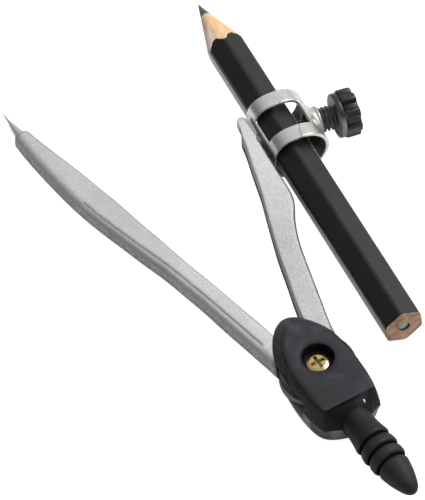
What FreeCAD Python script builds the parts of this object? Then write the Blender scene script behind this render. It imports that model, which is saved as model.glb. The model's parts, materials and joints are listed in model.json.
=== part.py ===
import FreeCAD, Part
import math
import os
import Sketcher
from FreeCAD import Placement, Rotation, Vector

# Drawing compass: two cast legs on one friction pivot, a needle point on the
# left leg (-X), and a screwed clamp that holds a short hexagonal pencil on the
# right leg (+X).  Millimetres, +Z towards the front.  The origin is on the
# pivot axis, on the flat rear face of the head.  The handle points along -Y,
# the legs along +Y.  Every body is drawn about the middle plane of the legs,
# which lies mid_plane in front of the rear face.

DIM = {
    "mid_plane": 4.7,
    "overrun": 1.0,              # how far a cut runs past the face it opens
    # head; levels are distances from the middle plane
    "head_front": 4.35, "head_rear": 4.7, "slot_half": 2.05,
    "slot_end": 6.2, "hub_cavity_radius": 7.1,
    "boss_radius": 3.8, "boss_level": 1.0, "boss_root": 0.3,
    "grip_lean": 2.1, "grip_root": 8.5,
    "recess_radius": 3.03, "recess_floor": 1.7, "pivot_bore": 1.27,
    "peg_radius": 0.7, "peg_hole": 0.76, "peg_length": 1.2,
    "peg_root": 0.4, "peg_end_gap": 0.15, "peg_x": 4.75, "peg_y": 9.3,
    "nut_pocket_flats": 5.1, "nut_pocket_floor": 1.7,
    # pivot
    "screw_head_radius": 2.25, "screw_head_height": 1.3,
    "screw_shank_radius": 1.2, "screw_end": 4.2,
    "cross_reach": 1.35, "cross_half_width": 0.3, "cross_depth": 0.75,
    "nut_flats": 5.0, "nut_thick": 1.95, "nut_bore": 1.22, "nut_gap": 0.02,
    "washer_inner": 1.35, "washer_outer": 5.6, "washer_thick": 0.26,
    # legs
    "leg_thick": 4.0, "hub_radius": 7.0, "hub_gap_half": 0.15,
    "hub_clearance": 7.25, "hub_bore": 1.27,
    "counterbore_radius": 3.9, "counterbore_level": 0.95,
    "bead_radius": 1.85, "rim_radius": 0.6,
    "tongue_low": 0.5, "flank_hole": 1.12, "flank_hole_depth": 2.62,
    "needle_hole": 1.0, "needle_hole_depth": 9.0, "needle_hole_lead": 0.5,
    # needle; its base is the centre of the leg's end
    "needle_base_x": -19.62, "needle_base_y": 75.7, "needle_lean": 1.83,
    # pencil
    "pencil_tip_x": 26.06, "pencil_tip_y": 88.02, "pencil_lean": 5.04,
    "pencil_length": 88.1, "pencil_flats": 7.1, "pencil_turn": 22.8,
    "pencil_corner": 1.15, "lead_radius": 1.1, "lead_hole": 1.105,
    "cone_angle": 16.3, "lead_recess": 0.35,
    # clamp; stations are measured back from the pencil's tip
    "ring_near": 31.3, "ring_length": 12.5, "band_width": 3.2,
    "collar_station": 37.7, "collar_reach": 7.88, "collar_tilt": 6.2,
    "collar_radius": 3.0, "collar_length": 1.6, "thread_bore": 2.5,
    "rivet_station": 37.5, "rivet_hole": 1.35, "rivet_hole_depth": 2.0,
    # thumb screw
    "thread_radius": 2.44, "thread_out": 3.2,
    "knob_flange_radius": 4.35, "knob_flange_thick": 1.15,
    "knob_radius": 4.65, "knob_thick": 3.05, "knob_lobes": 8,
    "scallop_radius": 1.1, "scallop_offset": 0.55,
    "knob_socket_radius": 1.52, "knob_socket_depth": 2.45,
}

doc = FreeCAD.newDocument("drawing_compass")
sheet = doc.addObject("Spreadsheet::Sheet", "Dims")
for row, (alias, value) in enumerate(DIM.items(), 1):
    sheet.set("A%d" % row, alias)
    sheet.set("B%d" % row, repr(value))
    sheet.setAlias("B%d" % row, alias)
doc.recompute()
pieces = []


# -------------------------------------------------------------------- helpers
def bind(obj, expressions):
    """Bind property paths to expressions; $name stands for a sheet cell."""
    for path, text in expressions.items():
        obj.setExpression(path, text.replace("$", "Dims."))


def body(label, place=None):
    owner = doc.addObject("PartDesign::Body", label)
    owner.Label = label
    if place is not None:
        owner.Placement = place
    bind(owner, {"Placement.Base.z": "$mid_plane"})
    pieces.append(owner)
    return owner


def sketch(owner, name, role="XY_Plane", place=None, **offsets):
    """Sketch on an origin plane; offsets x, y, z are bound expressions."""
    shape = owner.newObject("Sketcher::SketchObject", name)
    plane = [f for f in owner.Origin.OriginFeatures if f.Role == role][0]
    shape.AttachmentSupport = (plane, [""])
    shape.MapMode = "FlatFace"
    if place is not None:
        shape.AttachmentOffset = place
    bind(shape, {"AttachmentOffset.Base." + axis: text for axis, text in offsets.items()})
    return shape


def vec(point):
    return Vector(point[0], point[1], 0)


def lines(shape, points, close=True):
    count = len(points)
    for i in range(count if close else count - 1):
        segment = Part.LineSegment(vec(points[i]), vec(points[(i + 1) % count]))
        shape.addGeometry(segment, False)


def arc(shape, start, middle, end):
    shape.addGeometry(Part.Arc(vec(start), vec(middle), vec(end)), False)


def spline(shape, points, periodic=False):
    curve = Part.BSplineCurve()
    if periodic:
        curve.interpolate(Points=[vec(p) for p in points], PeriodicFlag=True)
    else:
        curve.interpolate(Points=[vec(p) for p in points])
    shape.addGeometry(curve, False)


def sized_circle(shape, x, y, alias):
    """A circle whose radius is a constraint bound to the sheet."""
    shape.addGeometry(Part.Circle(Vector(x, y, 0), Vector(0, 0, 1), DIM[alias]), False)
    index = shape.addConstraint(
        Sketcher.Constraint("Radius", shape.GeometryCount - 1, DIM[alias]))
    bind(shape, {"Constraints[%d]" % index: "$" + alias})


def volume(owner):
    return owner.Shape.Volume if owner.Shape and not owner.Shape.isNull() else 0.0


def check_cut(made, before):
    if made.Shape.Volume >= before - 1e-6:
        raise RuntimeError("%s cuts nothing" % made.Name)


def feature(owner, kind, name, shape, length, reverse=False):
    """Pad or Pocket.  A reversed pocket cuts towards the sketch normal."""
    before = volume(owner)
    made = owner.newObject("PartDesign::" + kind, name)
    made.Profile = shape
    bind(made, {"Length": length})
    made.Reversed = reverse
    doc.recompute()
    if kind == "Pocket":
        check_cut(made, before)


def round_feature(owner, kind, name, shape_name, radius, length, reverse=False,
                  centres=((0, 0),), role="XY_Plane", place=None, **offsets):
    """Pad or Pocket of circles whose radius is the cell called radius."""
    shape = sketch(owner, shape_name, role, place, **offsets)
    for x, y in centres:
        sized_circle(shape, x, y, radius)
    feature(owner, kind, name, shape, length, reverse)


def turn(owner, kind, name, shape):
    """Revolution or Groove about the sketch's vertical axis."""
    before = volume(owner)
    made = owner.newObject("PartDesign::" + kind, name)
    made.Profile = shape
    made.ReferenceAxis = (shape, ["V_Axis"])
    made.Angle = 360.0
    doc.recompute()
    if kind == "Groove":
        check_cut(made, before)


def turned(owner, stem, points):
    """Solid of revolution about local z; points are (radius, z)."""
    shape = sketch(owner, stem + "_profile", "XZ_Plane")
    lines(shape, points)
    turn(owner, "Revolution", stem + "_turned", shape)


def turned_curve(owner, stem, start, curve, end):
    """As turned, with a spline between the straight runs start and end."""
    shape = sketch(owner, stem + "_profile", "XZ_Plane")
    lines(shape, start + [curve[0]], close=False)
    spline(shape, curve)
    lines(shape, [curve[-1]] + end + [start[0]], close=False)
    turn(owner, "Revolution", stem + "_turned", shape)


def loft(owner, name, sections, ruled=False):
    made = owner.newObject("PartDesign::AdditiveLoft", name)
    made.Profile = sections[0]
    made.Sections = sections[1:]
    made.Ruled = ruled
    doc.recompute()


def frame(origin, x, y, z):
    return Placement(FreeCAD.Matrix(x.x, y.x, z.x, origin.x,
                                    x.y, y.y, z.y, origin.y,
                                    x.z, y.z, z.z, origin.z, 0, 0, 0, 1))


# ---------------------------------------------------------------- head covers
# Half outlines (x, y).  A side runs from the apex at +Y down to the lower
# corner; a foot runs on from that corner to the middle line.
PARTING_SIDE = [
    (0, 12.0), (1.5, 11.55), (3.25, 10.2), (4.65, 8.45), (5.7, 6.6),
    (6.45, 4.3), (6.85, 2.0), (7.0, -1.0), (7.0, -3.4), (6.9, -6.7),
    (6.62, -8.9), (6.3, -10.4), (5.75, -11.8)]
SHOULDER_SIDE = [
    (0, 11.75), (1.45, 11.35), (3.1, 10.05), (4.4, 8.35), (5.45, 6.5),
    (6.2, 4.25), (6.55, 2.0), (6.75, -1.0), (6.72, -3.4), (6.58, -6.4),
    (6.3, -8.6), (6.0, -10.0), (5.45, -11.25)]
FRONT_SIDE = [
    (0, 9.6), (1.5, 9.0), (3.0, 7.25), (4.1, 5.5), (4.85, 3.7),
    (5.35, 1.9), (5.62, 0.2), (5.82, -2.2), (5.85, -4.4), (5.8, -6.6),
    (5.65, -8.6), (5.45, -9.7), (5.1, -10.65)]
REAR_SIDE = [
    (0, 11.4), (1.5, 10.95), (3.05, 9.7), (4.25, 8.1), (5.2, 6.3), (5.92, 4.2),
    (6.42, 2.0), (6.78, -1.0), (6.95, -3.4), (6.9, -6.7), (6.6, -8.9),
    (6.15, -10.35), (5.3, -11.6)]
PARTING_FOOT = [(5.75, -11.8), (3.8, -12.65), (2.5, -13.2), (0, -13.6)]
SHOULDER_FOOT = [(5.45, -11.25), (3.7, -11.8), (2.4, -12.05), (0, -12.25)]
FRONT_FOOT = [(5.1, -10.65), (3.4, -10.65), (1.7, -10.65), (0, -10.65)]
REAR_FOOT = [(5.3, -11.6), (4.1, -12.35), (2.6, -13.0), (0, -13.5)]
BELT_FOOT = [(5.6, -11.72), (3.95, -12.52), (2.55, -13.1), (0, -13.58)]
# the belt lies halfway between the parting and rear sides
BELT_SIDE = [((a[0] + b[0]) / 2, (a[1] + b[1]) / 2)
             for a, b in zip(PARTING_SIDE[:-1], REAR_SIDE[:-1])] + [BELT_FOOT[0]]

# Rounded front edge: (distance behind the front face, inset)
FRONT_LIP = ((0.62, -0.13), (0.3, -0.03), (0.12, 0.09), (0.03, 0.23), (0.0, 0.36))
# Rounded rear edge: shares of the depth from the slot wall to the rear face
REAR_SHARES = (0.0, 0.38, 0.7, 0.9, 1.0)
REAR_EDGE_INSET = 2.0
CORNER_SHIFT = 0.12              # extra shift of an inset corner, per mm of inset
SLOT_SIDE, SLOT_TOP = 9, 14      # slot outline, outside the head

PEG_CENTRES = [(-DIM["peg_x"], -DIM["peg_y"]), (DIM["peg_x"], -DIM["peg_y"])]

# Cavity round the handle's spigot, (radius, y): a pocket for its flange, a
# narrow bore and a wider socket for the neck.  It leans about the grip root.
ROOT = DIM["grip_root"]
SOCKET = [(radius, y + ROOT) for radius, y in [
    (0, -8.15), (3.05, -8.15), (3.05, -9.45), (2.12, -9.45),
    (2.12, -11.95), (3.0, -11.95), (3.0, -14.6), (0, -14.6)]]
LEAN = Rotation(Vector(0, 0, 1), DIM["grip_lean"])
SOCKET_PLACE = Placement(Vector(0, -ROOT, 0), LEAN)


def outline(owner, name, side, foot, **offsets):
    shape = sketch(owner, name, **offsets)
    spline(shape, [(-x, y) for x, y in reversed(side)] + side[1:])
    spline(shape, foot + [(-x, y) for x, y in reversed(foot[:-1])])
    return shape


def shifted(points, distance, middle_index):
    """Move points inwards; the one on the middle line moves along y only."""
    moved = []
    for i, (x, y) in enumerate(points):
        before = points[max(i - 1, 0)]
        after = points[min(i + 1, len(points) - 1)]
        run = after[0] - before[0]
        rise = 0.0 if i == middle_index else after[1] - before[1]
        size = math.hypot(run, rise)
        moved.append((x + rise / size * distance, y - run / size * distance))
    return moved


def inset(side, foot, distance):
    new_side = shifted(side, distance, 0)
    new_foot = shifted(foot, distance, len(foot) - 1)
    (side_x, side_y), (foot_x, foot_y) = new_side[-1], new_foot[0]
    corner = ((side_x + foot_x) / 2 - CORNER_SHIFT * distance,
              (side_y + foot_y) / 2 + CORNER_SHIFT * distance)
    return new_side[:-1] + [corner], [corner] + new_foot[1:]


def slot_sketch(owner, name, **offsets):
    """Leg slot, open towards +Y, with a round bay for the hubs."""
    shape = sketch(owner, name, **offsets)
    low, radius = -DIM["slot_end"], DIM["hub_cavity_radius"]
    bay = math.sqrt(radius * radius - low * low)
    lines(shape, [(-SLOT_SIDE, low), (-bay, low)], close=False)
    arc(shape, (-bay, low), (0, -radius), (bay, low))
    lines(shape, [(bay, low), (SLOT_SIDE, low), (SLOT_SIDE, SLOT_TOP),
                  (-SLOT_SIDE, SLOT_TOP), (-SLOT_SIDE, low)], close=False)
    return shape


def cut_socket(owner, stem):
    shape = sketch(owner, stem + "_socket_shape", place=SOCKET_PLACE)
    lines(shape, SOCKET)
    turn(owner, "Groove", stem + "_socket", shape)


def front_cover():
    cover = body("front_cover")
    parting = outline(cover, "front_parting", PARTING_SIDE, PARTING_FOOT)
    shoulder = outline(cover, "front_shoulder", SHOULDER_SIDE, SHOULDER_FOOT, z="$slot_half")
    lips = []
    for i, (below, distance) in enumerate(FRONT_LIP):
        side, foot = inset(FRONT_SIDE, FRONT_FOOT, distance)
        lips.append(outline(cover, "front_face_%d" % i, side, foot,
                            z="$head_front - %.2f" % below))
    loft(cover, "front_shell", [parting, shoulder, lips[0]])
    loft(cover, "front_lip", lips, True)
    feature(cover, "Pocket", "front_slot", slot_sketch(cover, "front_slot_shape"),
            "$slot_half", True)
    round_feature(cover, "Pad", "front_boss", "front_boss_shape", "boss_radius",
                  "$slot_half - $boss_level + $boss_root", z="$boss_level")
    round_feature(cover, "Pocket", "front_recess", "front_recess_shape", "recess_radius",
                  "$head_front - $recess_floor + $overrun", True, z="$recess_floor")
    round_feature(cover, "Pocket", "front_bore", "front_bore_shape", "pivot_bore",
                  "$head_front", True)
    cut_socket(cover, "front")
    round_feature(cover, "Pad", "front_pegs", "front_peg_shape", "peg_radius",
                  "$peg_length + $peg_root", centres=PEG_CENTRES, z="-$peg_length")


def rear_cover():
    cover = body("rear_cover")
    sections = [outline(cover, "rear_parting", PARTING_SIDE, PARTING_FOOT),
                outline(cover, "rear_belt", BELT_SIDE, BELT_FOOT, z="-$slot_half / 2")]
    for i, share in enumerate(REAR_SHARES):
        distance = REAR_EDGE_INSET * (1 - math.sqrt(1 - share * share))
        side, foot = inset(REAR_SIDE, REAR_FOOT, distance)
        level = "-$slot_half - %.2f * ($head_rear - $slot_half)" % share
        sections.append(outline(cover, "rear_round_%d" % i, side, foot, z=level))
    loft(cover, "rear_shell", sections)
    feature(cover, "Pocket", "rear_slot",
            slot_sketch(cover, "rear_slot_shape", z="-$slot_half"),
            "$slot_half + $overrun / 2", True)
    round_feature(cover, "Pad", "rear_boss", "rear_boss_shape", "boss_radius",
                  "$slot_half - $boss_level + $boss_root", z="-$slot_half - $boss_root")
    shape = sketch(cover, "rear_nut_shape", z="-$nut_pocket_floor")
    radius = DIM["nut_pocket_flats"] / math.sqrt(3)
    lines(shape, [(radius * math.cos(math.radians(60 * i)),
                   radius * math.sin(math.radians(60 * i))) for i in range(6)])
    feature(cover, "Pocket", "rear_nut_pocket", shape,
            "$head_rear - $nut_pocket_floor + $overrun")
    round_feature(cover, "Pocket", "rear_bore", "rear_bore_shape", "pivot_bore", "$head_rear")
    cut_socket(cover, "rear")
    round_feature(cover, "Pocket", "rear_pegs", "rear_peg_holes", "peg_hole",
                  "$peg_length + $peg_end_gap", centres=PEG_CENTRES)


# --------------------------------------------------------------- grip handle
# Stations are distances from the pivot; local z is the station less ROOT.
# Smooth shape of the grip: (station, radius)
GRIP = [
    (12.0, 2.92), (14.4, 2.93), (15.0, 2.97), (16.0, 3.1), (17.0, 3.26), (18.0, 3.36),
    (19.0, 3.41), (20.0, 3.43), (21.0, 3.42), (22.0, 3.38), (23.0, 3.28), (24.0, 3.1),
    (24.8, 2.94), (25.77, 2.74), (26.73, 2.53), (27.7, 2.24), (28.72, 1.88),
    (29.21, 1.69), (29.65, 1.47)]
# Spigot with its flange, and the rounded far end: (radius, station)
SPIGOT = [(0, 8.2), (3.0, 8.2), (3.0, 9.4), (2.1, 9.4), (2.1, 12.0), (2.92, 12.0)]
GRIP_END = [(1.47, 29.65), (1.2, 30.05), (0.85, 30.42), (0.45, 30.66), (0.2, 30.73)]
NECK_END = (2.92, 14.2)
GRIP_TIP = (0, 30.75)
GRIP_FIRST, GRIP_LAST = 14.8, 29.6       # stations of the sampled curve
GROOVED = (17.6, 24.8)                   # finely sampled between these stations
FINE_STEP, COARSE_STEP = 0.2, 0.45
# Rounded grooves, each a little steeper on the side of the head
GROOVES = (18.5, 21.1, 23.7)
GROOVE_DEPTH, STEEP_WIDTH, EASY_WIDTH = 0.5, 0.34, 0.5
# Slight swell on the head side of each groove
SWELL_HEIGHT, SWELL_OFFSET, SWELL_WIDTH = 0.07, 0.85, 0.4


def grip_radius(station):
    for (t0, r0), (t1, r1) in zip(GRIP, GRIP[1:]):
        if t0 <= station <= t1:
            radius = r0 + (r1 - r0) * (station - t0) / (t1 - t0)
            break
    for groove in GROOVES:
        away = station - groove
        width = STEEP_WIDTH if away < 0 else EASY_WIDTH
        radius -= GROOVE_DEPTH * math.exp(-(away / width) ** 2)
        radius += SWELL_HEIGHT * math.exp(-((away + SWELL_OFFSET) / SWELL_WIDTH) ** 2)
    return radius


def grip_handle():
    handle = body("grip_handle", Placement(Vector(0, -ROOT, 0),
                                           LEAN * Rotation(Vector(1, 0, 0), 90)))
    bind(handle, {"Placement.Base.y": "-$grip_root"})
    curve = [NECK_END]
    station = GRIP_FIRST
    while station < GRIP_LAST:
        curve.append((grip_radius(station), station))
        station += FINE_STEP if GROOVED[0] < station < GROOVED[1] else COARSE_STEP
    curve += GRIP_END
    runs = [[(radius, at - ROOT) for radius, at in run]
            for run in (SPIGOT, curve, [GRIP_TIP])]
    turned_curve(handle, "handle", *runs)


# ------------------------------------------------------------- pivot hardware
def pivot_screw():
    screw = body("pivot_screw")
    head, shank = DIM["screw_head_radius"], DIM["screw_shank_radius"]
    seat, end = DIM["recess_floor"], -DIM["screw_end"]
    top = seat + DIM["screw_head_height"]
    chamfer = 0.25
    turned(screw, "screw", [
        (0, end), (shank - chamfer, end), (shank, end + chamfer), (shank, seat), (head, seat),
        (head, top - 0.45), (head - 0.2, top - 0.22), (head - 0.75, top - 0.05), (0, top)])
    shape = sketch(screw, "screw_cross", z="$recess_floor + $screw_head_height - $cross_depth")
    a, w = DIM["cross_reach"], DIM["cross_half_width"]
    lines(shape, [(a, -w), (a, w), (w, w), (w, a), (-w, a), (-w, w), (-a, w), (-a, -w),
                  (-w, -w), (-w, -a), (w, -a), (w, -w)])
    feature(screw, "Pocket", "screw_recess", shape, "2 * $cross_depth", True)


def bored_blank(label, blank, eye_name, eye_radius, thickness, level):
    """Cut a round eye through a flat blank."""
    bind(blank, {"Height": thickness})
    eye = doc.addObject("Part::Cylinder", eye_name)
    bind(eye, {"Radius": eye_radius, "Height": thickness + " + 2 * $overrun"})
    eye.Placement.Base.z = -DIM["overrun"]
    piece = doc.addObject("Part::Cut", label)
    piece.Base = blank
    piece.Tool = eye
    piece.Label = label
    bind(piece, {"Placement.Base.z": level})
    pieces.append(piece)


def pivot_nut():
    hexagon = doc.addObject("Part::Prism", "nut_hexagon")
    hexagon.Polygon = 6
    bind(hexagon, {"Circumradius": "$nut_flats / sqrt(3)"})
    bored_blank("pivot_nut", hexagon, "nut_thread", "$nut_bore", "$nut_thick",
                "$mid_plane - $nut_pocket_floor - $nut_gap - $nut_thick")


def friction_washer():
    disc = doc.addObject("Part::Cylinder", "washer_disc")
    bind(disc, {"Radius": "$washer_outer"})
    bored_blank("friction_washer", disc, "washer_eye", "$washer_inner", "$washer_thick",
                "$mid_plane - $washer_thick / 2")


# ---------------------------------------------------------------- pencil frame
K = Vector(0, 0, 1)
lean = math.radians(DIM["pencil_lean"])
ALONG = Vector(math.sin(lean), math.cos(lean), 0)     # pencil axis, to the point
ACROSS = Vector(ALONG.y, -ALONG.x, 0)                 # across the pencil, towards +X
LENGTH = DIM["pencil_length"]
BLUNT_END = Vector(DIM["pencil_tip_x"], DIM["pencil_tip_y"], 0) - ALONG * LENGTH
PENCIL_FRAME = frame(BLUNT_END, ACROSS, -K, ALONG)
COLLAR_Z = LENGTH - DIM["collar_station"]
RIVET_Z = LENGTH - DIM["rivet_station"]


def pencil_body(label):
    """Body in the pencil's frame: x across, y to the rear, z along."""
    owner = body(label, PENCIL_FRAME)
    bind(owner, {
        "Placement.Base.x": "$pencil_tip_x - $pencil_length * sin($pencil_lean * 1 deg)",
        "Placement.Base.y": "$pencil_tip_y - $pencil_length * cos($pencil_lean * 1 deg)"})
    return owner


# ----------------------------------------------------------------------- legs
# Outlines (x, y) from the hub to the far end; the inner side faces the other leg.
NEEDLE_INNER = [
    (-2.85, 3.0), (-3.15, 6.8), (-3.52, 10.04), (-3.92, 12.44), (-4.82, 16.46),
    (-5.72, 20.47), (-6.58, 24.49), (-8.03, 30.51), (-8.93, 34.52), (-10.03, 40.0),
    (-11.23, 45.3), (-12.14, 50.0), (-13.48, 55.57), (-14.64, 60.58), (-15.98, 65.59),
    (-17.33, 70.6), (-18.08, 73.61), (-18.4, 75.1)]
NEEDLE_OUTER = [
    (-6.4, 1.0), (-6.98, 4.2), (-7.82, 8.32), (-8.67, 12.36), (-9.73, 17.41),
    (-10.69, 22.46), (-11.85, 27.52), (-13.06, 32.57), (-14.6, 37.63), (-16.03, 42.68),
    (-17.49, 47.74), (-18.75, 52.79), (-19.71, 57.83), (-20.42, 62.87), (-21.0, 67.91),
    (-21.33, 72.0), (-21.45, 75.1)]
NEEDLE_END = [(-18.85, 75.7), (-21.0, 75.7)]
PENCIL_INNER = [
    (2.2, 3.0), (2.55, 6.8), (3.24, 10.75), (4.33, 15.34), (5.76, 20.32), (7.09, 25.3),
    (8.67, 30.28), (10.34, 35.25), (12.02, 40.21), (13.4, 45.18), (14.87, 50.15),
    (15.55, 53.0)]
PENCIL_OUTER = [
    (6.35, 1.6), (6.62, 5.61), (7.72, 10.3), (9.0, 15.28), (10.28, 20.26), (11.66, 25.24),
    (13.04, 28.9), (14.1, 31.1), (15.2, 33.0), (16.0, 34.67), (16.42, 36.3), (16.84, 40.14),
    (17.14, 43.5), (17.44, 46.9), (17.72, 50.1), (17.98, 53.0)]
PENCIL_END = [(15.75, 53.6), (17.9, 53.6)]
# Line of the V groove on the front face of the needle leg
GROOVE_LINE = [
    (-6.2, 8.9), (-6.55, 10.47), (-7.61, 15.49), (-8.66, 20.51), (-9.81, 25.53),
    (-10.99, 30.54), (-12.4, 35.57), (-13.98, 40.59), (-15.5, 45.61),
    (-16.8, 50.2), (-17.75, 54.4)]
# Section of that groove: (across, height from the front face)
GROOVE_SECTION = [(-0.26, 0.3), (-0.24, 0), (-0.07, -0.3), (0.07, -0.3), (0.24, 0), (0.26, 0.3)]
# Tongue beyond the end of the pencil leg
TONGUE = [
    (15.2, 51.0), (15.86, 53.6), (16.15, 55.11), (16.45, 56.35), (16.8, 56.72),
    (17.24, 56.82), (17.8, 56.72), (18.1, 56.4), (18.13, 55.1), (17.98, 53.0), (17.8, 51.0)]
FLANK_HOLE_REACH = 4.9           # mouth of the flank hole, from the pencil's axis
# An outer long edge has its middle this near the outer points and this far
# from the inner ones.
EDGE_LENGTH, OUTER_NEAR, INNER_FAR = 40, 3.2, 2.6


def outer_edges(solid, inner, outer):
    """Names of the front and rear long edges on the outer side."""
    names = []
    for i, edge in enumerate(solid.Edges, 1):
        middle = edge.valueAt((edge.FirstParameter + edge.LastParameter) / 2)

        def nearest(points):
            return min(math.hypot(middle.x - x, middle.y - y) for x, y in points)

        if abs(edge.BoundBox.ZLength) < 1e-6 and edge.Length > EDGE_LENGTH \
                and nearest(outer) < OUTER_NEAR and nearest(inner) > INNER_FAR:
            names.append("Edge%d" % i)
    return names


def leg_body(label, inner, outer, end, front_hub, edge_radius):
    leg = body(label)
    shape = sketch(leg, label + "_outline", z="-$leg_thick / 2")
    spline(shape, inner)
    lines(shape, [inner[-1]] + end + [outer[-1]], close=False)
    spline(shape, list(reversed(outer)))
    lines(shape, [outer[0], inner[0]], close=False)
    feature(leg, "Pad", label + "_blank", shape, "$leg_thick")
    # round the outer side, front and rear
    names = outer_edges(leg.Tip.Shape, inner, outer)
    fillet = leg.newObject("PartDesign::Fillet", label + "_bead")
    fillet.Base = (doc.getObject(label + "_blank"), names)
    bind(fillet, {"Radius": edge_radius})
    doc.recompute()
    # hub disc on one half of the thickness, room for the other leg's hub on
    # the other, and a counterbore in the hub's outer face
    rear_face, past_rear = "-$leg_thick / 2", "-$leg_thick / 2 - $overrun"
    round_feature(leg, "Pad", label + "_hub", label + "_hub_outline", "hub_radius",
                  "$leg_thick / 2 - $hub_gap_half",
                  z="$hub_gap_half" if front_hub else rear_face)
    round_feature(leg, "Pocket", label + "_hub_clear", label + "_hub_room", "hub_clearance",
                  "$leg_thick / 2 + $overrun + $hub_gap_half", True,
                  z=past_rear if front_hub else "-$hub_gap_half")
    round_feature(leg, "Pocket", label + "_bore", label + "_bore_outline", "hub_bore",
                  "2 * $leg_thick", True, z="-$leg_thick")
    round_feature(leg, "Pocket", label + "_counterbore", label + "_counterbore_outline",
                  "counterbore_radius", "$leg_thick / 2 + $overrun - $counterbore_level",
                  True, z="$counterbore_level" if front_hub else past_rear)
    return leg


# An XZ_Plane sketch has x along X, y along Z and its normal along -Y.
def needle_leg():
    leg = leg_body("needle_leg", NEEDLE_INNER, NEEDLE_OUTER, NEEDLE_END, False, "$bead_radius")
    path = sketch(leg, "needle_leg_groove_line", z="$leg_thick / 2")
    spline(path, GROOVE_LINE)
    (x0, y0), (x1, y1) = GROOVE_LINE[:2]
    heading = math.degrees(math.atan2(x1 - x0, y1 - y0))
    section = sketch(leg, "needle_leg_groove_section", "XZ_Plane",
                     Placement(Vector(x0, 0, -y0), Rotation(Vector(0, 1, 0), heading)),
                     y="$leg_thick / 2")
    lines(section, GROOVE_SECTION)
    pipe = leg.newObject("PartDesign::SubtractivePipe", "needle_leg_groove")
    pipe.Profile = section
    pipe.Spine = (path, [])
    doc.recompute()
    # blind hole along the needle's own axis, started clear of the leg's end
    mouth = Vector(DIM["needle_base_x"], 0, -DIM["needle_base_y"] - DIM["needle_hole_lead"])
    round_feature(leg, "Pocket", "needle_hole", "needle_hole_outline", "needle_hole",
                  "$needle_hole_depth + $needle_hole_lead", True, role="XZ_Plane",
                  place=Placement(mouth, Rotation(Vector(0, 1, 0), DIM["needle_lean"])),
                  x="$needle_base_x")


def needle_point():
    angle = math.radians(DIM["needle_lean"])
    axis = Vector(-math.sin(angle), math.cos(angle), 0)
    base = Vector(DIM["needle_base_x"], DIM["needle_base_y"], 0)
    needle = body("needle_point", frame(base, Vector(axis.y, -axis.x, 0), -K, axis))
    bind(needle, {"Placement.Base.x": "$needle_base_x", "Placement.Base.y": "$needle_base_y"})
    foot = 0.02 - DIM["needle_hole_depth"]       # just clear of the hole's floor
    turned_curve(needle, "needle",
                 [(0, foot), (0.75, foot), (0.96, -8.75), (0.96, 0.0)],
                 [(1.12, 0.03), (1.09, 0.5), (0.94, 1.5), (0.71, 3.0), (0.47, 4.3),
                  (0.25, 5.6), (0.1, 7.1), (0.03, 8.1)],
                 [(0, 8.13)])


def pencil_leg():
    leg = leg_body("pencil_leg", PENCIL_INNER, PENCIL_OUTER, PENCIL_END, True, "$rim_radius")
    shape = sketch(leg, "tongue_outline", z="$tongue_low")
    lines(shape, TONGUE)
    feature(leg, "Pad", "tongue", shape, "$leg_thick / 2 - $tongue_low")
    # rivet hole in the flank, across the pencil
    mouth = BLUNT_END + ALONG * RIVET_Z - ACROSS * FLANK_HOLE_REACH
    round_feature(leg, "Pocket", "flank_hole", "flank_hole_outline", "flank_hole",
                  "$flank_hole_depth", role="YZ_Plane",
                  place=Placement(Vector(mouth.y, 0, mouth.x),
                                  Rotation(Vector(0, 1, 0), -DIM["pencil_lean"])))


# ----------------------------------------------------------------- clamp ring
# Ring sections: centre x, reach to the left, reach to the right, half height,
# exponent of the left half; the right half is elliptical.
RING_OUTSIDE = (1.3, 5.75, 5.75, 5.4, 2.7)
RING_INSIDE = (1.2, 5.15, 5.1, 4.75, 3.0)
RING_POINTS = 40
# Window between the two bands, (x, y); mirrored in y
WINDOW = [(-7, 2.75), (-3.4, 2.75), (4.6, 4.05), (8, 4.05), (8, 7), (-7, 7)]
RIVET_HOLE_REACH = -3.2          # x at which the ring's rivet hole starts
# Rivet: (radius, distance from the pencil's axis towards the leg)
RIVET = [
    (0, 3.72), (0.9, 3.74), (1.33, 3.9), (1.33, 4.47), (1.6, 4.47), (1.6, 4.9),
    (1.09, 4.9), (1.09, 7.3), (0.9, 7.5), (0, 7.5)]


def ring_curve(centre, left, right, half_height, left_power):
    points = []
    for i in range(RING_POINTS):
        angle = 2 * math.pi * i / RING_POINTS
        c, s = math.cos(angle), math.sin(angle)
        reach, power = (right, 2.0) if c > 0 else (left, left_power)
        points.append((centre + reach * math.copysign(abs(c) ** (2 / power), c),
                       half_height * math.copysign(abs(s) ** (2 / power), s)))
    return points


def clamp_ring():
    ring = pencil_body("clamp_ring")
    shape = sketch(ring, "ring_section", z="$pencil_length - $ring_near - $ring_length")
    spline(shape, ring_curve(*RING_OUTSIDE), periodic=True)
    spline(shape, ring_curve(*RING_INSIDE), periodic=True)
    feature(ring, "Pad", "ring_tube", shape, "$ring_length")
    shape = sketch(ring, "ring_windows",
                   z="$pencil_length - $ring_near - $ring_length + $band_width")
    for side in (1, -1):
        lines(shape, [(x, y * side) for x, y in WINDOW])
    feature(ring, "Pocket", "ring_window_cut", shape, "$ring_length - 2 * $band_width", True)
    # tilted threaded collar on the outer side
    collar = {
        "role": "YZ_Plane",
        "place": Placement(Vector(0, COLLAR_Z, DIM["collar_reach"]),
                           Rotation(Vector(1, 0, 0), DIM["collar_tilt"])),
        "y": "$pencil_length - $collar_station",
        "z": "$collar_reach"}
    round_feature(ring, "Pad", "collar", "collar_outline", "collar_radius",
                  "$collar_length", True, **collar)
    round_feature(ring, "Pocket", "collar_thread", "collar_thread_outline", "thread_bore",
                  "$collar_length + 2 * $overrun", **collar)
    round_feature(ring, "Pocket", "rivet_hole", "rivet_hole_outline", "rivet_hole",
                  "$rivet_hole_depth", role="YZ_Plane",
                  place=Placement(Vector(0, RIVET_Z, RIVET_HOLE_REACH), Rotation()))


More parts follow.
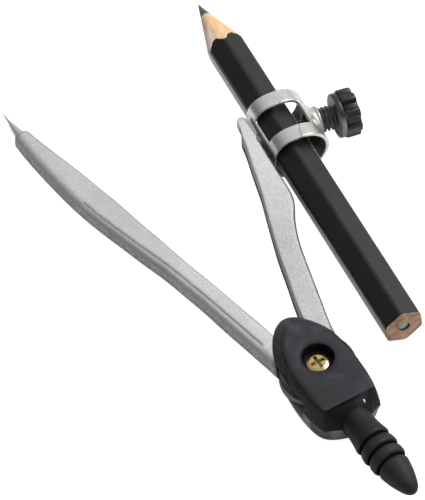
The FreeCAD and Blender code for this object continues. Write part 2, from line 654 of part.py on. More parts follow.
def clamp_rivet():
    rivet = body("clamp_rivet", frame(BLUNT_END + ALONG * RIVET_Z, ALONG, -K, -ACROSS))
    turned(rivet, "rivet", RIVET)


# ---------------------------------------------------------------- thumb screw
# Local z runs outwards along the screw from the collar's outer face.
screw_lean = math.radians(DIM["pencil_lean"] + DIM["collar_tilt"])
SCREW_AXIS = Vector(math.cos(screw_lean), -math.sin(screw_lean), 0)
SCREW_FRAME = frame(BLUNT_END + ALONG * COLLAR_Z + ACROSS * DIM["collar_reach"],
                    K, Vector(SCREW_AXIS.y, -SCREW_AXIS.x, 0), SCREW_AXIS)


def thumb_screw_stud():
    stud = body("thumb_screw_stud", SCREW_FRAME)
    thread, out = DIM["thread_radius"], DIM["thread_out"]
    turned(stud, "stud", [
        (0, -4.05), (0.95, -4.05), (1.05, -3.93), (1.05, -3.25), (thread - 0.45, -3.25),
        (thread, -2.8), (thread, out), (1.5, out), (1.5, 5.6), (0, 5.6)])


def thumb_screw_knob():
    knob = body("thumb_screw_knob", SCREW_FRAME)
    grip_level = "$thread_out + $knob_flange_thick"
    round_feature(knob, "Pad", "knob_flange", "knob_flange_outline", "knob_flange_radius",
                  "$knob_flange_thick", z="$thread_out")
    round_feature(knob, "Pad", "knob_grip", "knob_grip_outline", "knob_radius",
                  "$knob_thick", z=grip_level)
    half = math.pi / DIM["knob_lobes"]
    away = DIM["knob_radius"] + DIM["scallop_offset"]
    round_feature(knob, "Pocket", "knob_scallop", "knob_scallop_outline", "scallop_radius",
                  "$knob_thick + $overrun", True,
                  centres=[(away * math.cos(half), away * math.sin(half))], z=grip_level)
    pattern = knob.newObject("PartDesign::PolarPattern", "knob_scallops")
    pattern.Originals = [doc.getObject("knob_scallop")]
    pattern.Axis = (doc.getObject("knob_scallop_outline"), ["N_Axis"])
    pattern.Angle = 360
    bind(pattern, {"Occurrences": "$knob_lobes"})
    knob.Tip = pattern
    doc.recompute()
    round_feature(knob, "Pocket", "knob_socket", "knob_socket_outline", "knob_socket_radius",
                  "$knob_socket_depth", True, z="$thread_out")


# --------------------------------------------------------------------- pencil
CONE_SLOPE = math.tan(math.radians(DIM["cone_angle"]))
# Radii of the sharpening cut: cone start, cone end, outside the wood
CUT_INNER, CUT_OUTER, CUT_CLEAR = 0.9, 5.0, 6.5


def cone_z(radius):
    """Height at which the sharpened cone has this radius."""
    return LENGTH - radius / CONE_SLOPE


def hex_corner(index, offset):
    """Point on a rounded corner of the hexagon, offset degrees off its middle."""
    rounding = DIM["pencil_corner"]
    middle = math.radians(DIM["pencil_turn"] + 60 * index)
    reach = DIM["pencil_flats"] / math.sqrt(3) - rounding / math.cos(math.radians(30))
    angle = middle + math.radians(offset)
    return (reach * math.cos(middle) + rounding * math.cos(angle),
            reach * math.sin(middle) + rounding * math.sin(angle))


def pencil_slat(label, first):
    """Half of the wood; the glued seam runs from corner first to first + 3."""
    slat = pencil_body(label)
    seam = math.radians(DIM["pencil_turn"] + 60 * first)
    bore = DIM["lead_hole"]
    start = (bore * math.cos(seam), bore * math.sin(seam))
    end = (-start[0], -start[1])
    shape = sketch(slat, label + "_section")
    lines(shape, [start, hex_corner(first, 0)], close=False)
    for i, (low, high) in enumerate(((0, 30), (-30, 30), (-30, 30), (-30, 0))):
        corner = first + i
        arc(shape, hex_corner(corner, low), hex_corner(corner, (low + high) / 2),
            hex_corner(corner, high))
        if i < 3:
            lines(shape, [hex_corner(corner, 30), hex_corner(corner + 1, -30)], close=False)
    lines(shape, [hex_corner(first + 3, 0), end], close=False)
    across = seam + math.pi / 2
    arc(shape, end, (bore * math.cos(across), bore * math.sin(across)), start)
    feature(slat, "Pad", label + "_blank", shape,
            "$pencil_length - $lead_radius / tan($cone_angle * 1 deg)")
    shape = sketch(slat, label + "_sharpening", "XZ_Plane")
    past_tip = LENGTH + DIM["overrun"]
    lines(shape, [(CUT_INNER, cone_z(CUT_INNER)), (CUT_OUTER, cone_z(CUT_OUTER)),
                  (CUT_CLEAR, cone_z(CUT_OUTER)), (CUT_CLEAR, past_tip),
                  (CUT_INNER, past_tip)])
    turn(slat, "Groove", label + "_point", shape)


def pencil_lead():
    lead = pencil_body("pencil_lead")
    radius, foot = DIM["lead_radius"], DIM["lead_recess"]
    turned(lead, "lead", [(0, foot), (radius, foot), (radius, cone_z(radius)),
                          (0.2, cone_z(0.2)), (0.08, LENGTH - 0.35), (0, LENGTH - 0.3)])


# ---------------------------------------------------------------------- build
front_cover()
rear_cover()
grip_handle()
pivot_screw()
pivot_nut()
friction_washer()
needle_leg()
needle_point()
pencil_leg()
clamp_ring()
clamp_rivet()
thumb_screw_stud()
thumb_screw_knob()
pencil_slat("pencil_slat_lower", 0)
pencil_slat("pencil_slat_upper", 3)
pencil_lead()

doc.recompute()
bad = [o.Name for o in doc.Objects if "Invalid" in o.State or "Error" in o.State]
if bad:
    raise RuntimeError("failed objects: %s" % bad)
os.makedirs("parts", exist_ok=True)
for piece in pieces:
    solid = piece.Shape
    if solid.isNull() or not solid.isValid() or len(solid.Solids) != 1:
        raise RuntimeError("%s: bad shape (%d solids)" % (piece.Label, len(solid.Solids)))
for piece in pieces:
    piece.Shape.exportStep("parts/%s.step" % piece.Label)
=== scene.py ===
"""A pair of compasses holding a hexagonal pencil in a clamp with a thumb screw.

It lies flat on a white sheet: +Z is up, the pivot screw stands on the origin, the
legs reach towards +Y and the grip handle towards -Y. The scene is in metres;
sizes named here are in millimetres unless they are multiplied by MM.
"""
import json
import math
from functools import partial, reduce

import bpy
import numpy as np
from mathutils import Matrix, Vector


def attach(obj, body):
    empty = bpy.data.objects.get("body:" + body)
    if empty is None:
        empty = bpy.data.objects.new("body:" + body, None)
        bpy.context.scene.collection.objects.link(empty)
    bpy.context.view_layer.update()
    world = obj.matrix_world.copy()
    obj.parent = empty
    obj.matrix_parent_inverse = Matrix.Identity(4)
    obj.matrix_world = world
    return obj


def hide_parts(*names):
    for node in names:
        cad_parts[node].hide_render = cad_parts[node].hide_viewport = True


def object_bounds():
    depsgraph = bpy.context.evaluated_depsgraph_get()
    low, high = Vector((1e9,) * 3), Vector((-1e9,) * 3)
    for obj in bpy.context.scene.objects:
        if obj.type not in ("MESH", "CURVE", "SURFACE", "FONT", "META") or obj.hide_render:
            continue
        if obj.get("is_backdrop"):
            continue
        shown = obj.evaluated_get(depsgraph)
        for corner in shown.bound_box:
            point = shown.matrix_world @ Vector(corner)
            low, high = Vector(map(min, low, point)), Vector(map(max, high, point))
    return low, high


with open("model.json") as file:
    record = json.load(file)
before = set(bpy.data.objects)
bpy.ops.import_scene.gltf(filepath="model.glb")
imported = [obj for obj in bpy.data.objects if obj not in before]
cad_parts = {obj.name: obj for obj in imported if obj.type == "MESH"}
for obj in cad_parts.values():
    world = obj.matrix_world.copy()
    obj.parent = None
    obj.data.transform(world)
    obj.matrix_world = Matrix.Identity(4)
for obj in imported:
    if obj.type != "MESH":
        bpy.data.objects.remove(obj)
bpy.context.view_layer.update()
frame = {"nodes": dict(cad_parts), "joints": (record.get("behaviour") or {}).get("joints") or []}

MM = 0.001
nodes = frame["nodes"]
joints = {j["name"]: j for j in frame["joints"]}

# ---------------------------------------------------------------- driving places
PENCIL_MM = 88.1                                    # cut end to the apex of the cone
PENCIL_LENGTH = PENCIL_MM * MM
CONE_HALF_ANGLE = 16.3                              # degrees
UP = Vector((0, 0, 1))
PENCIL_DIR = Vector(joints["pencil_slide"]["axis"]).normalized()      # towards the point
PENCIL_SIDE = Vector((PENCIL_DIR.y, -PENCIL_DIR.x, 0.0))              # towards the thumb screw
SCREW_DIR = Vector(joints["stud_travel"]["axis"]).normalized()        # outwards
SCREW_SIDE = (SCREW_DIR.y, -SCREW_DIR.x, 0.0)                         # level, across the screw
SEAT = Vector(joints["knob_turn"]["pos_m"])                           # on the collar's face
NEEDLE_LEAN = math.radians(1.83)
NEEDLE_DIR = Vector((-math.sin(NEEDLE_LEAN), math.cos(NEEDLE_LEAN), 0))
LEAD_RECESS = 0.35                                  # lead's rear end inside the cut end


def pencil_rear():
    """Centre of the pencil's cut end, found from the rear end of the lead."""
    lead = np.array([v.co for v in nodes["pencil_lead"].data.vertices])
    along = lead @ np.array(PENCIL_DIR)
    rear = Vector(lead[along < along.min() + 1e-5].mean(0)) - PENCIL_DIR * (LEAD_RECESS * MM)
    rear.z = SEAT.z
    return rear


REAR = pencil_rear()

# a local frame is its origin and its x, y and z axes
SCREW_FRAME = (SEAT, UP, SCREW_SIDE, SCREW_DIR)
PENCIL_FRAME = (REAR, PENCIL_SIDE, -UP, PENCIL_DIR)


# ---------------------------------------------------------------- node helpers
NOISE_SPAN = (0.3, 0.7)                             # where most values of a noise lie
UNIT = (0.0, 1.0)


def grey(value):
    return (value,) * 3


def darker(colour, factor):
    return tuple(x * factor for x in colour)


def lighter(colour, factor, lift):
    return tuple(min(1, x * factor + lift) for x in colour)


class Tree:
    """Builds a node tree line by line; each method returns an output socket."""

    def __init__(self, tree):
        self.tree = tree
        tree.nodes.clear()
        self.coords = self.node("ShaderNodeTexCoord")

    def node(self, kind, **props):
        n = self.tree.nodes.new(kind)
        for key, value in props.items():
            setattr(n, key, value)
        return n

    def link(self, source, socket):
        self.tree.links.new(source, socket)

    def put(self, socket, value):
        if isinstance(value, bpy.types.NodeSocket):
            self.link(value, socket)
        else:
            socket.default_value = value

    def math(self, operation, *values, clamp=False):
        n = self.node("ShaderNodeMath", operation=operation, use_clamp=clamp)
        for socket, value in zip(n.inputs, values):
            self.put(socket, value)
        return n.outputs[0]

    def add(self, a, b, clamp=False):
        return self.math("ADD", a, b, clamp=clamp)

    def sub(self, a, b):
        return self.math("SUBTRACT", a, b)

    def mul(self, *factors):
        return reduce(partial(self.math, "MULTIPLY"), factors)

    def vmath(self, operation, *vectors):
        n = self.node("ShaderNodeVectorMath", operation=operation)
        for socket, vector in zip(n.inputs, vectors):
            self.put(socket, vector)
        return n.outputs["Value" if operation in ("DOT_PRODUCT", "LENGTH") else "Vector"]

    def dot(self, a, b):
        return self.vmath("DOT_PRODUCT", a, b if isinstance(b, bpy.types.NodeSocket) else tuple(b))

    def scaled(self, vector, by):
        n = self.node("ShaderNodeVectorMath", operation="SCALE")
        self.put(n.inputs[0], vector)
        self.put(n.inputs["Scale"], by)
        return n.outputs["Vector"]

    def combine(self, *parts):
        n = self.node("ShaderNodeCombineXYZ")
        for socket, part in zip(n.inputs, parts):
            self.put(socket, part)
        return n.outputs[0]

    def separate(self, vector):
        n = self.node("ShaderNodeSeparateXYZ")
        self.link(vector, n.inputs[0])
        return n.outputs

    def remap(self, value, at=NOISE_SPAN, to=UNIT, at_mm=None, to_mm=None, smooth=False):
        """Map the span `at` onto `to`, clamped; at_mm and to_mm are the same in mm."""
        if at_mm:
            at = [x * MM for x in at_mm]
        if to_mm:
            to = [x * MM for x in to_mm]
        n = self.node("ShaderNodeMapRange")
        if smooth:
            n.interpolation_type = "SMOOTHSTEP"
        self.put(n.inputs[0], value)
        for i, limit in enumerate((*at, *to), 1):
            n.inputs[i].default_value = limit
        return n.outputs[0]

    def mix(self, factor, a, b, kind="RGBA"):
        first, out = {"FLOAT": (2, 0), "VECTOR": (4, 1), "RGBA": (6, 2)}[kind]
        n = self.node("ShaderNodeMix", data_type=kind)
        self.put(n.inputs[0], factor)
        for i, value in ((first, a), (first + 1, b)):
            rgb = kind == "RGBA" and isinstance(value, tuple)
            self.put(n.inputs[i], (*value, 1) if rgb else value)
        return n.outputs[out]


class Material(Tree):
    """A Principled material. Features change colour, rough, normal and spec in turn."""

    INPUTS = {"base": "Base Color", "metal": "Metallic", "rough": "Roughness",
              "spec": "Specular IOR Level", "normal": "Normal"}

    def __init__(self, name):
        self.material = bpy.data.materials.new(name)
        self.material.use_nodes = True
        super().__init__(self.material.node_tree)
        self.out = self.node("ShaderNodeOutputMaterial")
        self.bsdf = self.node("ShaderNodeBsdfPrincipled")
        self.link(self.bsdf.outputs[0], self.out.inputs["Surface"])
        self.pos = self.coords.outputs["Object"]

    def set(self, **values):
        for key, value in values.items():
            if isinstance(value, tuple):
                value = (*value, 1)
            self.put(self.bsdf.inputs[self.INPUTS[key]], value)
        return self

    def noise(self, scale, detail=2.0, rough=0.5, distortion=0.0, vec=None):
        n = self.node("ShaderNodeTexNoise")
        self.link(vec or self.pos, n.inputs["Vector"])
        n.inputs["Scale"].default_value = scale
        n.inputs["Detail"].default_value = detail
        n.inputs["Roughness"].default_value = rough
        n.inputs["Distortion"].default_value = distortion
        return n.outputs[0]

    def voronoi(self, scale, out="Distance"):
        n = self.node("ShaderNodeTexVoronoi", feature="F1")
        self.link(self.pos, n.inputs["Vector"])
        n.inputs["Scale"].default_value = scale
        return n.outputs[out]

    def ramp(self, value, stops):
        n = self.node("ShaderNodeValToRGB")
        self.put(n.inputs[0], value)
        ends = n.color_ramp.elements
        for end, (position, colour) in ((ends[0], stops[0]), (ends[1], stops[-1])):
            end.position, end.color = position, (*colour, 1)
        for position, colour in stops[1:-1]:
            ends.new(position).color = (*colour, 1)
        return n.outputs["Color"]

    def bump(self, height, strength, distance_mm, normal=None):
        n = self.node("ShaderNodeBump")
        n.inputs["Strength"].default_value = strength
        n.inputs["Distance"].default_value = distance_mm * MM
        self.put(n.inputs["Height"], height)
        if normal is not None:
            self.put(n.inputs["Normal"], normal)
        return n.outputs[0]

    def soft(self, radius_mm):
        """The normal with its edges rounded over."""
        n = self.node("ShaderNodeBevel", samples=4)
        n.inputs["Radius"].default_value = radius_mm * MM
        return n.outputs[0]

    def face_normal(self):
        return self.node("ShaderNodeNewGeometry").outputs["Normal"]

    def edge(self, radius_mm):
        """0 on flat faces, up to 1 along convex and concave edges."""
        agreement = self.dot(self.soft(radius_mm), self.face_normal())
        return self.remap(agreement, at=(0.7, 0.995), to=(1.0, 0.0))

    def own(self, normal):
        """A normal in the piece's own frame, so that masks stay put when its body moves."""
        n = self.node("ShaderNodeVectorTransform", vector_type="NORMAL",
                      convert_from="WORLD", convert_to="OBJECT")
        self.link(normal, n.inputs[0])
        return n.outputs[0]

    def offset(self, origin):
        return self.vmath("SUBTRACT", self.pos, tuple(origin))

    def facing(self):
        """0 seen square on, 1 seen edge on."""
        n = self.node("ShaderNodeLayerWeight")
        n.inputs["Blend"].default_value = 0.5
        return n.outputs["Facing"]

    def tinted(self, factor, colour):
        """Mix a colour over the colour so far."""
        self.colour = self.mix(factor, self.colour, colour)

    def shade(self, by):
        self.colour = self.scaled(self.colour, by)


# ---------------------------------------------------------------- moulded plastics
def plastic(name, base, rough, grain=0.35, mottle=0.25, spec=0.5, features=()):
    """Grained plastic with a cloudy tone; each feature then adds its own marks."""
    m = Material(name)
    m.base, m.spec = base, spec
    cloud = m.noise(scale=110, detail=3.0, rough=0.55)
    fine = m.noise(scale=5200, detail=2.0, rough=0.6)
    m.colour = m.mix(m.remap(cloud), darker(base, 1 - mottle), darker(base, 1 + mottle))
    m.rough = m.add(m.remap(fine, to=(-0.06, 0.06)),
                    m.remap(cloud, to=(rough - 0.05, rough + 0.05)))
    m.normal = m.soft(radius_mm=0.12)
    for feature in features:
        feature(m)
    grained = m.bump(fine, strength=grain, distance_mm=0.02, normal=m.normal)
    wavy = m.bump(m.noise(scale=420), strength=0.12, distance_mm=0.05, normal=grained)
    return m.set(base=m.colour, rough=m.rough, normal=wavy, spec=m.spec)


def worn_edges(m, amount):
    breakup = m.remap(m.noise(scale=900, detail=3.0, rough=0.6), at=(0.35, 0.7))
    wear_and_shine = m.mul(m.edge(radius_mm=0.3), breakup, amount)
    m.tinted(wear_and_shine, lighter(m.base, factor=3.2, lift=0.02))


def smudges(m, amount):
    """Paler, slightly glossier finger smudges."""
    patches = m.noise(scale=140, detail=4.0, rough=0.65, distortion=1.2)
    smudge = m.remap(patches, at=(0.52, 0.72), to=(0.0, amount))
    m.tinted(smudge, lighter(m.base, factor=2.6, lift=0.004))
    m.rough = m.add(m.rough, m.mul(smudge, -0.10))


def pillowed_and_shaded(m):
    """Long edges rolled over softly; the square -Y end keeps a crisp edge. Painted shade darkens
    the face towards -Y and darkens its drafted sides.
    """
    y = m.separate(m.pos)[1]
    away = m.remap(y, at_mm=(-11.5, -7.0), smooth=True)
    rolled = m.mix(away, m.normal, m.soft(radius_mm=1.7), kind="VECTOR")
    m.normal = m.vmath("NORMALIZE", rolled)
    # painted shade: the face darker towards -Y, lighter towards +Y
    m.shade(m.remap(y, at_mm=(-13.0, 11.0), to=(0.74, 1.12)))
    # painted shade: the drafted sides are darkened and dulled against the grained face, where less
    # light falls on them
    normal_z = m.separate(m.own(m.face_normal()))[2]
    wall = m.remap(normal_z, at=(0.90, 0.45), smooth=True)
    m.shade(m.remap(wall, at=UNIT, to=(1.0, 0.35)))
    m.spec = m.remap(wall, at=UNIT, to=(m.spec, m.spec * 0.45))


def painted_shade_band(m):
    """Painted shade: a dark band across the -Y end, and painted light falling off from -X to +X.
    """
    x, y, _ = m.separate(m.pos)
    start = m.remap(y, at_mm=(-12.6, -11.6), smooth=True)
    end = m.remap(y, at_mm=(-8.8, -7.6), to=(1.0, 0.0), smooth=True)
    # painted shade band across the -Y end
    m.tinted(m.mul(start, end), (0.008, 0.008, 0.009))
    # painted light: brighter towards -X, darker towards +X
    m.shade(m.remap(x, at_mm=(-3.5, 3.5), to=(1.9, 0.72)))


def painted_light_on_screw(m):
    """Painted reflections on the flange, and painted shade in the hollows between the grip's
    lobes.
    """
    dust_and_dim_reflection, bright_reflection, wall_highlight = (0.075, 0.075, 0.076), (0.30, 0.30, 0.29), (0.26, 0.26, 0.25)
    # painted reflection on the face turned to the collar, paler on one side
    inner_face = m.remap(m.dot(m.own(m.face_normal()), -SCREW_DIR), at=(0.55, 0.92))
    aside = m.dot(m.offset(SEAT), SCREW_SIDE)
    pale = m.mix(m.remap(aside, at_mm=(0.0, 3.5), smooth=True), dust_and_dim_reflection, bright_reflection)
    patches = m.remap(m.noise(scale=900, detail=3.0, rough=0.6), to=(0.6, 1.0))
    m.tinted(m.mul(inner_face, patches), pale)
    # painted shade: beyond the flange, the hollows nearer to the axis are darkened to black
    rel = m.offset(SEAT)
    axis_part = m.scaled(m.combine(*SCREW_DIR), m.dot(rel, SCREW_DIR))
    radius = m.vmath("LENGTH", m.vmath("SUBTRACT", rel, axis_part))
    beyond = m.remap(m.dot(rel, SCREW_DIR), at_mm=(4.25, 4.4))
    m.tinted(m.mul(m.remap(radius, at_mm=(4.75, 4.2), smooth=True), beyond), grey(0.0015))
    # painted highlight on one side of the flange's wall
    flange = m.sub(1.0, beyond)
    m.tinted(m.mul(flange, m.remap(aside, at_mm=(2.9, 4.1), to=(0.0, 0.75), smooth=True)),
             wall_highlight)


def grip_groove_shade(m):
    """Painted shade in three grooves across the handle, measured along it from the pivot, and near
    the head.
    """
    grooves_mm, shift_mm = (18.5, 21.1, 23.7), 0.05
    lean, root = math.radians(2.1), 8.5 * MM
    handle_dir = (math.sin(lean), -math.cos(lean), 0.0)
    along = m.add(m.dot(m.offset((0.0, -root, 0.0)), handle_dir), root)
    # painted shade: the handle darker near the head
    m.shade(m.remap(along, at_mm=(9.0, 18.0), to=(0.45, 1.0), smooth=True))
    lines = []
    for groove in grooves_mm:
        distance = m.math("ABSOLUTE", m.sub(along, (groove - shift_mm) * MM))
        lines.append(m.remap(distance, at_mm=(0.10, 0.38), to=(1.0, 0.0), smooth=True))
    groove_shade = reduce(partial(m.math, "MAXIMUM"), lines)
    # painted shade fills the grooves with black
    m.tinted(m.mul(groove_shade, 0.9), grey(0.001))
    m.rough = m.add(m.rough, m.mul(groove_shade, 0.4), clamp=True)
    m.spec = m.remap(groove_shade, at=UNIT, to=(m.spec, 0.03))


HEAD = plastic("head_charcoal", base=(0.0165, 0.016, 0.0205), rough=0.47,
               features=(pillowed_and_shaded, partial(smudges, amount=0.5)))
# painted highlight: the rear cover is the same charcoal plastic as the front, given a paler grey
# base for the light it catches
HEAD_REAR = plastic("head_rear_painted_highlight", base=(0.105, 0.105, 0.108), rough=0.32, grain=0.25,
                    spec=0.65, features=(painted_shade_band,))
GRIP = plastic("grip_black", base=(0.0105, 0.0105, 0.0107), rough=0.52, grain=0.3, mottle=0.15,
               spec=0.40, features=(partial(smudges, amount=0.3), grip_groove_shade))
KNOB = plastic("knob_black", base=(0.0145, 0.0145, 0.0150), rough=0.30, grain=0.2, mottle=0.2,
               spec=0.85, features=(partial(worn_edges, amount=0.6), painted_light_on_screw))


# ---------------------------------------------------------------- cast metals
def cast_silver(name, base, rough, metal=0.85, grain=0.5, pebble=0.18, soft_mm=0.15,
                sparkle=1.0, features=()):
    """Tumbled die casting: fine sparkle over a faint cloudy tone."""
    m = Material(name)
    m.base = base
    cloud = m.noise(scale=95, detail=4.0, rough=0.6)
    fine = m.noise(scale=3800, detail=3.0, rough=0.65)
    cells = m.node("ShaderNodeSeparateColor")
    m.link(m.voronoi(scale=5200, out="Color"), cells.inputs[0])
    spark = m.remap(cells.outputs[0], at=UNIT, to=(1.0 - 0.16 * sparkle, 1.0 + 0.12 * sparkle))
    tone = m.mul(m.remap(cloud, to=(0.93, 1.05)), spark)
    flat_colour = m.node("ShaderNodeRGB").outputs[0]
    flat_colour.default_value = (*base, 1)
    m.colour = m.scaled(flat_colour, tone)
    m.rough = m.add(m.remap(fine, at=(0.25, 0.75), to=(-0.07, 0.07)),
                    m.remap(m.noise(scale=600), to=(rough - 0.04, rough + 0.04)))
    m.normal = m.soft(soft_mm)
    for feature in features:
        feature(m)
    grained = m.bump(fine, strength=grain, distance_mm=0.018, normal=m.normal)
    pebbled = m.bump(m.noise(scale=1500), strength=pebble, distance_mm=0.05, normal=grained)
    return m.set(base=m.colour, rough=m.rough, metal=metal, normal=pebbled, spec=0.5)


def shaded_hub(m):
    """Painted shade on the metal where the leg turns inside the head."""
    flat = m.vmath("MULTIPLY", m.pos, (1.0, 1.0, 0.0))
    ragged = m.remap(m.noise(scale=500), to_mm=(-0.25, 0.25))
    radius = m.add(m.vmath("LENGTH", flat), ragged)
    m.tinted(m.remap(radius, at_mm=(7.2, 8.4), to=(0.80, 0.0), smooth=True), (0.10, 0.10, 0.098))


def dark_outline(m):
    """Painted shade: surfaces seen edge on are darker."""
    m.tinted(m.remap(m.facing(), at=(0.86, 0.97), to=(0.0, 0.8), smooth=True),
             darker(m.base, 0.2))


def shaded_flanks(m):
    """Painted shade on the flanks, broken up by a pebbled pattern."""
    normal_z = m.separate(m.own(m.normal))[2]
    flank = m.remap(normal_z, at=(0.93, 0.25), smooth=True)
    pebbles = m.remap(m.noise(scale=2300, rough=0.6), to=(0.55, 1.0))
    m.tinted(m.mul(flank, pebbles, 1.0), darker(m.base, 0.22))
    dark_outline(m)


def shaded_plus_x(m):
    """Painted shade on the walls turned towards +X."""
    normal_x = m.separate(m.own(m.normal))[0]
    m.tinted(m.mul(m.remap(normal_x, at=(0.12, 0.5), smooth=True), 0.9), darker(m.base, 0.10))
    dark_outline(m)


def rolled_minus_x(m):
    """The -X flank's normal is turned up to shade like the flat; painted shade darkens the leg
    towards the head and draws a dark line at the flank's foot.
    """
    normal_x = m.separate(m.own(m.face_normal()))[0]
    _, y, z = m.separate(m.pos)
    flank = m.remap(normal_x, at=(-0.30, -0.70), smooth=True)
    rolled = m.mix(m.mul(flank, 0.86), m.normal, tuple(UP), kind="VECTOR")
    m.normal = m.vmath("NORMALIZE", rolled)
    # painted light: darker towards the head, brighter towards the clamp
    m.shade(m.remap(y, at_mm=(24.0, 50.0), to=(0.84, 1.12), smooth=True))
    # painted shade line along the flank's foot
    foot_shade = m.mul(m.remap(normal_x, at=(-0.15, -0.4)),
                 m.remap(z, at_mm=(3.85, 4.35), to=(0.90, 0.0), smooth=True))
    m.tinted(foot_shade, darker(m.base, 0.08))


def seam_and_collar(m):
    """A slanting seam on top of the sleeve, and grey streaks with painted shade on its collar."""
    seam_side, seam_along, seam_slope = 1.75 * MM, 45.9 * MM, 0.28
    rel = m.offset(REAR)
    side, along, above = (m.dot(rel, axis) for axis in (PENCIL_SIDE, PENCIL_DIR, UP))
    slant = m.mul(m.sub(along, seam_along), seam_slope)
    off = m.sub(side, m.add(seam_side, slant))
    line = m.remap(m.math("ABSOLUTE", off), at_mm=(0.03, 0.13), to=(1.0, 0.0))
    here = m.mul(m.math("LESS_THAN", along, 47.6 * MM), m.math("GREATER_THAN", above, 0.0))
    m.tinted(m.mul(line, here, 0.75), (0.05, 0.048, 0.045))
    # painted shade with streaks: the drawn collar is darker than the rolled band, most towards the
    # rear
    collar = m.remap(side, at_mm=(6.5, 7.1), smooth=True)
    streak = m.remap(m.noise(scale=1300, detail=3.0, rough=0.6, distortion=0.8),
                     at=(0.35, 0.65), to=(0.25, 1.0))
    rearward = m.remap(along, at_mm=(52.6, 49.0), to=(0.25, 1.0))
    m.tinted(m.mul(m.mul(collar, streak), m.mul(rearward, 0.62)), (0.22, 0.22, 0.215))
    m.rough = m.add(m.rough, m.mul(collar, 0.12))
    # the metal beyond the seam is a little warmer
    m.tinted(m.mul(m.remap(off, at_mm=(0.0, 0.1), to=(0.0, 0.6)), here), (0.95, 0.90, 0.84))


NEEDLE_LEG = cast_silver("leg_silver_needle", base=(0.86, 0.865, 0.845), rough=0.44, pebble=0.45,
                         soft_mm=0.95, sparkle=0.7, features=(shaded_hub, shaded_flanks))
PENCIL_LEG = cast_silver("leg_silver_pencil", base=(0.89, 0.89, 0.875), rough=0.44, soft_mm=0.6,
                         features=(shaded_hub, shaded_plus_x, rolled_minus_x))
CLAMP = cast_silver("clamp_nickel", base=(0.93, 0.93, 0.915), rough=0.29, metal=0.9, grain=0.07,
                    pebble=0.06, sparkle=0.25, features=(seam_and_collar,))
# darker, speckled metal for the bore and the collar's inside
CLAMP_INSIDE = cast_silver("clamp_inside_darker", base=(0.40, 0.40, 0.39), rough=0.42, metal=0.7,
                           grain=1.0, pebble=1.0, sparkle=3.0)


# ---------------------------------------------------------------- small metal parts, washer
def needle_steel():
    """Polished steel with fine turning rings along the needle."""
    m = Material("needle_polished")
    cloud = m.noise(scale=260, detail=3.0)
    turning = m.node("ShaderNodeTexNoise", noise_dimensions="1D")
    m.put(turning.inputs["W"], m.mul(m.dot(m.pos, NEEDLE_DIR), 9000.0))
    turning.inputs["Scale"].default_value = 1.0
    turning.inputs["Detail"].default_value = 3.0
    rings = turning.outputs[0]
    return m.set(base=m.mix(m.remap(cloud), (0.78, 0.78, 0.77), (0.92, 0.92, 0.91)),
                 rough=m.remap(rings, to=(0.32, 0.46)), metal=0.9,
                 normal=m.bump(rings, strength=0.25, distance_mm=0.01))


def screw_gold():
    """Yellow passivate: a thin film drifting between straw, green-gold and rose."""
    film = [(0.30, (0.92, 0.50, 0.34)), (0.42, (0.98, 0.70, 0.34)), (0.54, (0.96, 0.84, 0.38)),
            (0.64, (0.74, 0.78, 0.32)), (0.75, (1.0, 0.72, 0.52))]
    slot_shade, rim_rose = (0.20, 0.115, 0.02), (1.0, 0.66, 0.50)
    m = Material("screw_yellow_zinc")
    m.colour = m.ramp(m.noise(scale=520, detail=3.0, rough=0.6, distortion=0.6), film)
    z = m.separate(m.pos)[2]
    radius = m.vmath("LENGTH", m.vmath("MULTIPLY", m.pos, (1.0, 1.0, 0.0)))
    # painted shade: the cross slot darkened to brown
    deep = m.mul(m.remap(z, at_mm=(7.45, 7.15)),
                 m.remap(radius, at_mm=(1.75, 1.85), to=(1.0, 0.0)))
    m.tinted(m.mul(deep, 0.5), slot_shade)
    m.tinted(m.remap(radius, at_mm=(1.75, 2.2), to=(0.0, 0.75)), rim_rose)
    scratches = m.noise(scale=2600, detail=3.0, rough=0.6)
    return m.set(base=m.colour, rough=m.remap(scratches, to=(0.12, 0.3)), metal=1.0,
                 normal=m.bump(scratches, strength=0.25, distance_mm=0.02,
                               normal=m.soft(radius_mm=0.1)))


def plated(name, base, rough):
    m = Material(name)
    cloud = m.noise(scale=900, detail=3.0, rough=0.6)
    return m.set(base=m.mix(m.remap(cloud), darker(base, 0.85), base), metal=1.0,
                 rough=m.remap(cloud, to=(rough - 0.06, rough + 0.08)),
                 normal=m.bump(cloud, strength=0.15, distance_mm=0.02,
                               normal=m.soft(radius_mm=0.08)))


def fibre():
    m = Material("washer_fibre")
    fluff = m.noise(scale=1500, detail=4.0, rough=0.7)
    return m.set(base=m.mix(fluff, (0.16, 0.10, 0.06), (0.34, 0.24, 0.15)), rough=0.75,
                 normal=m.bump(fluff, strength=0.4, distance_mm=0.02))


NEEDLE = needle_steel()
SCREW = screw_gold()
NUT = plated("nut_zinc", base=(0.62, 0.63, 0.64), rough=0.3)
RIVET = plated("rivet_steel", base=(0.6, 0.6, 0.59), rough=0.34)
WASHER = fibre()


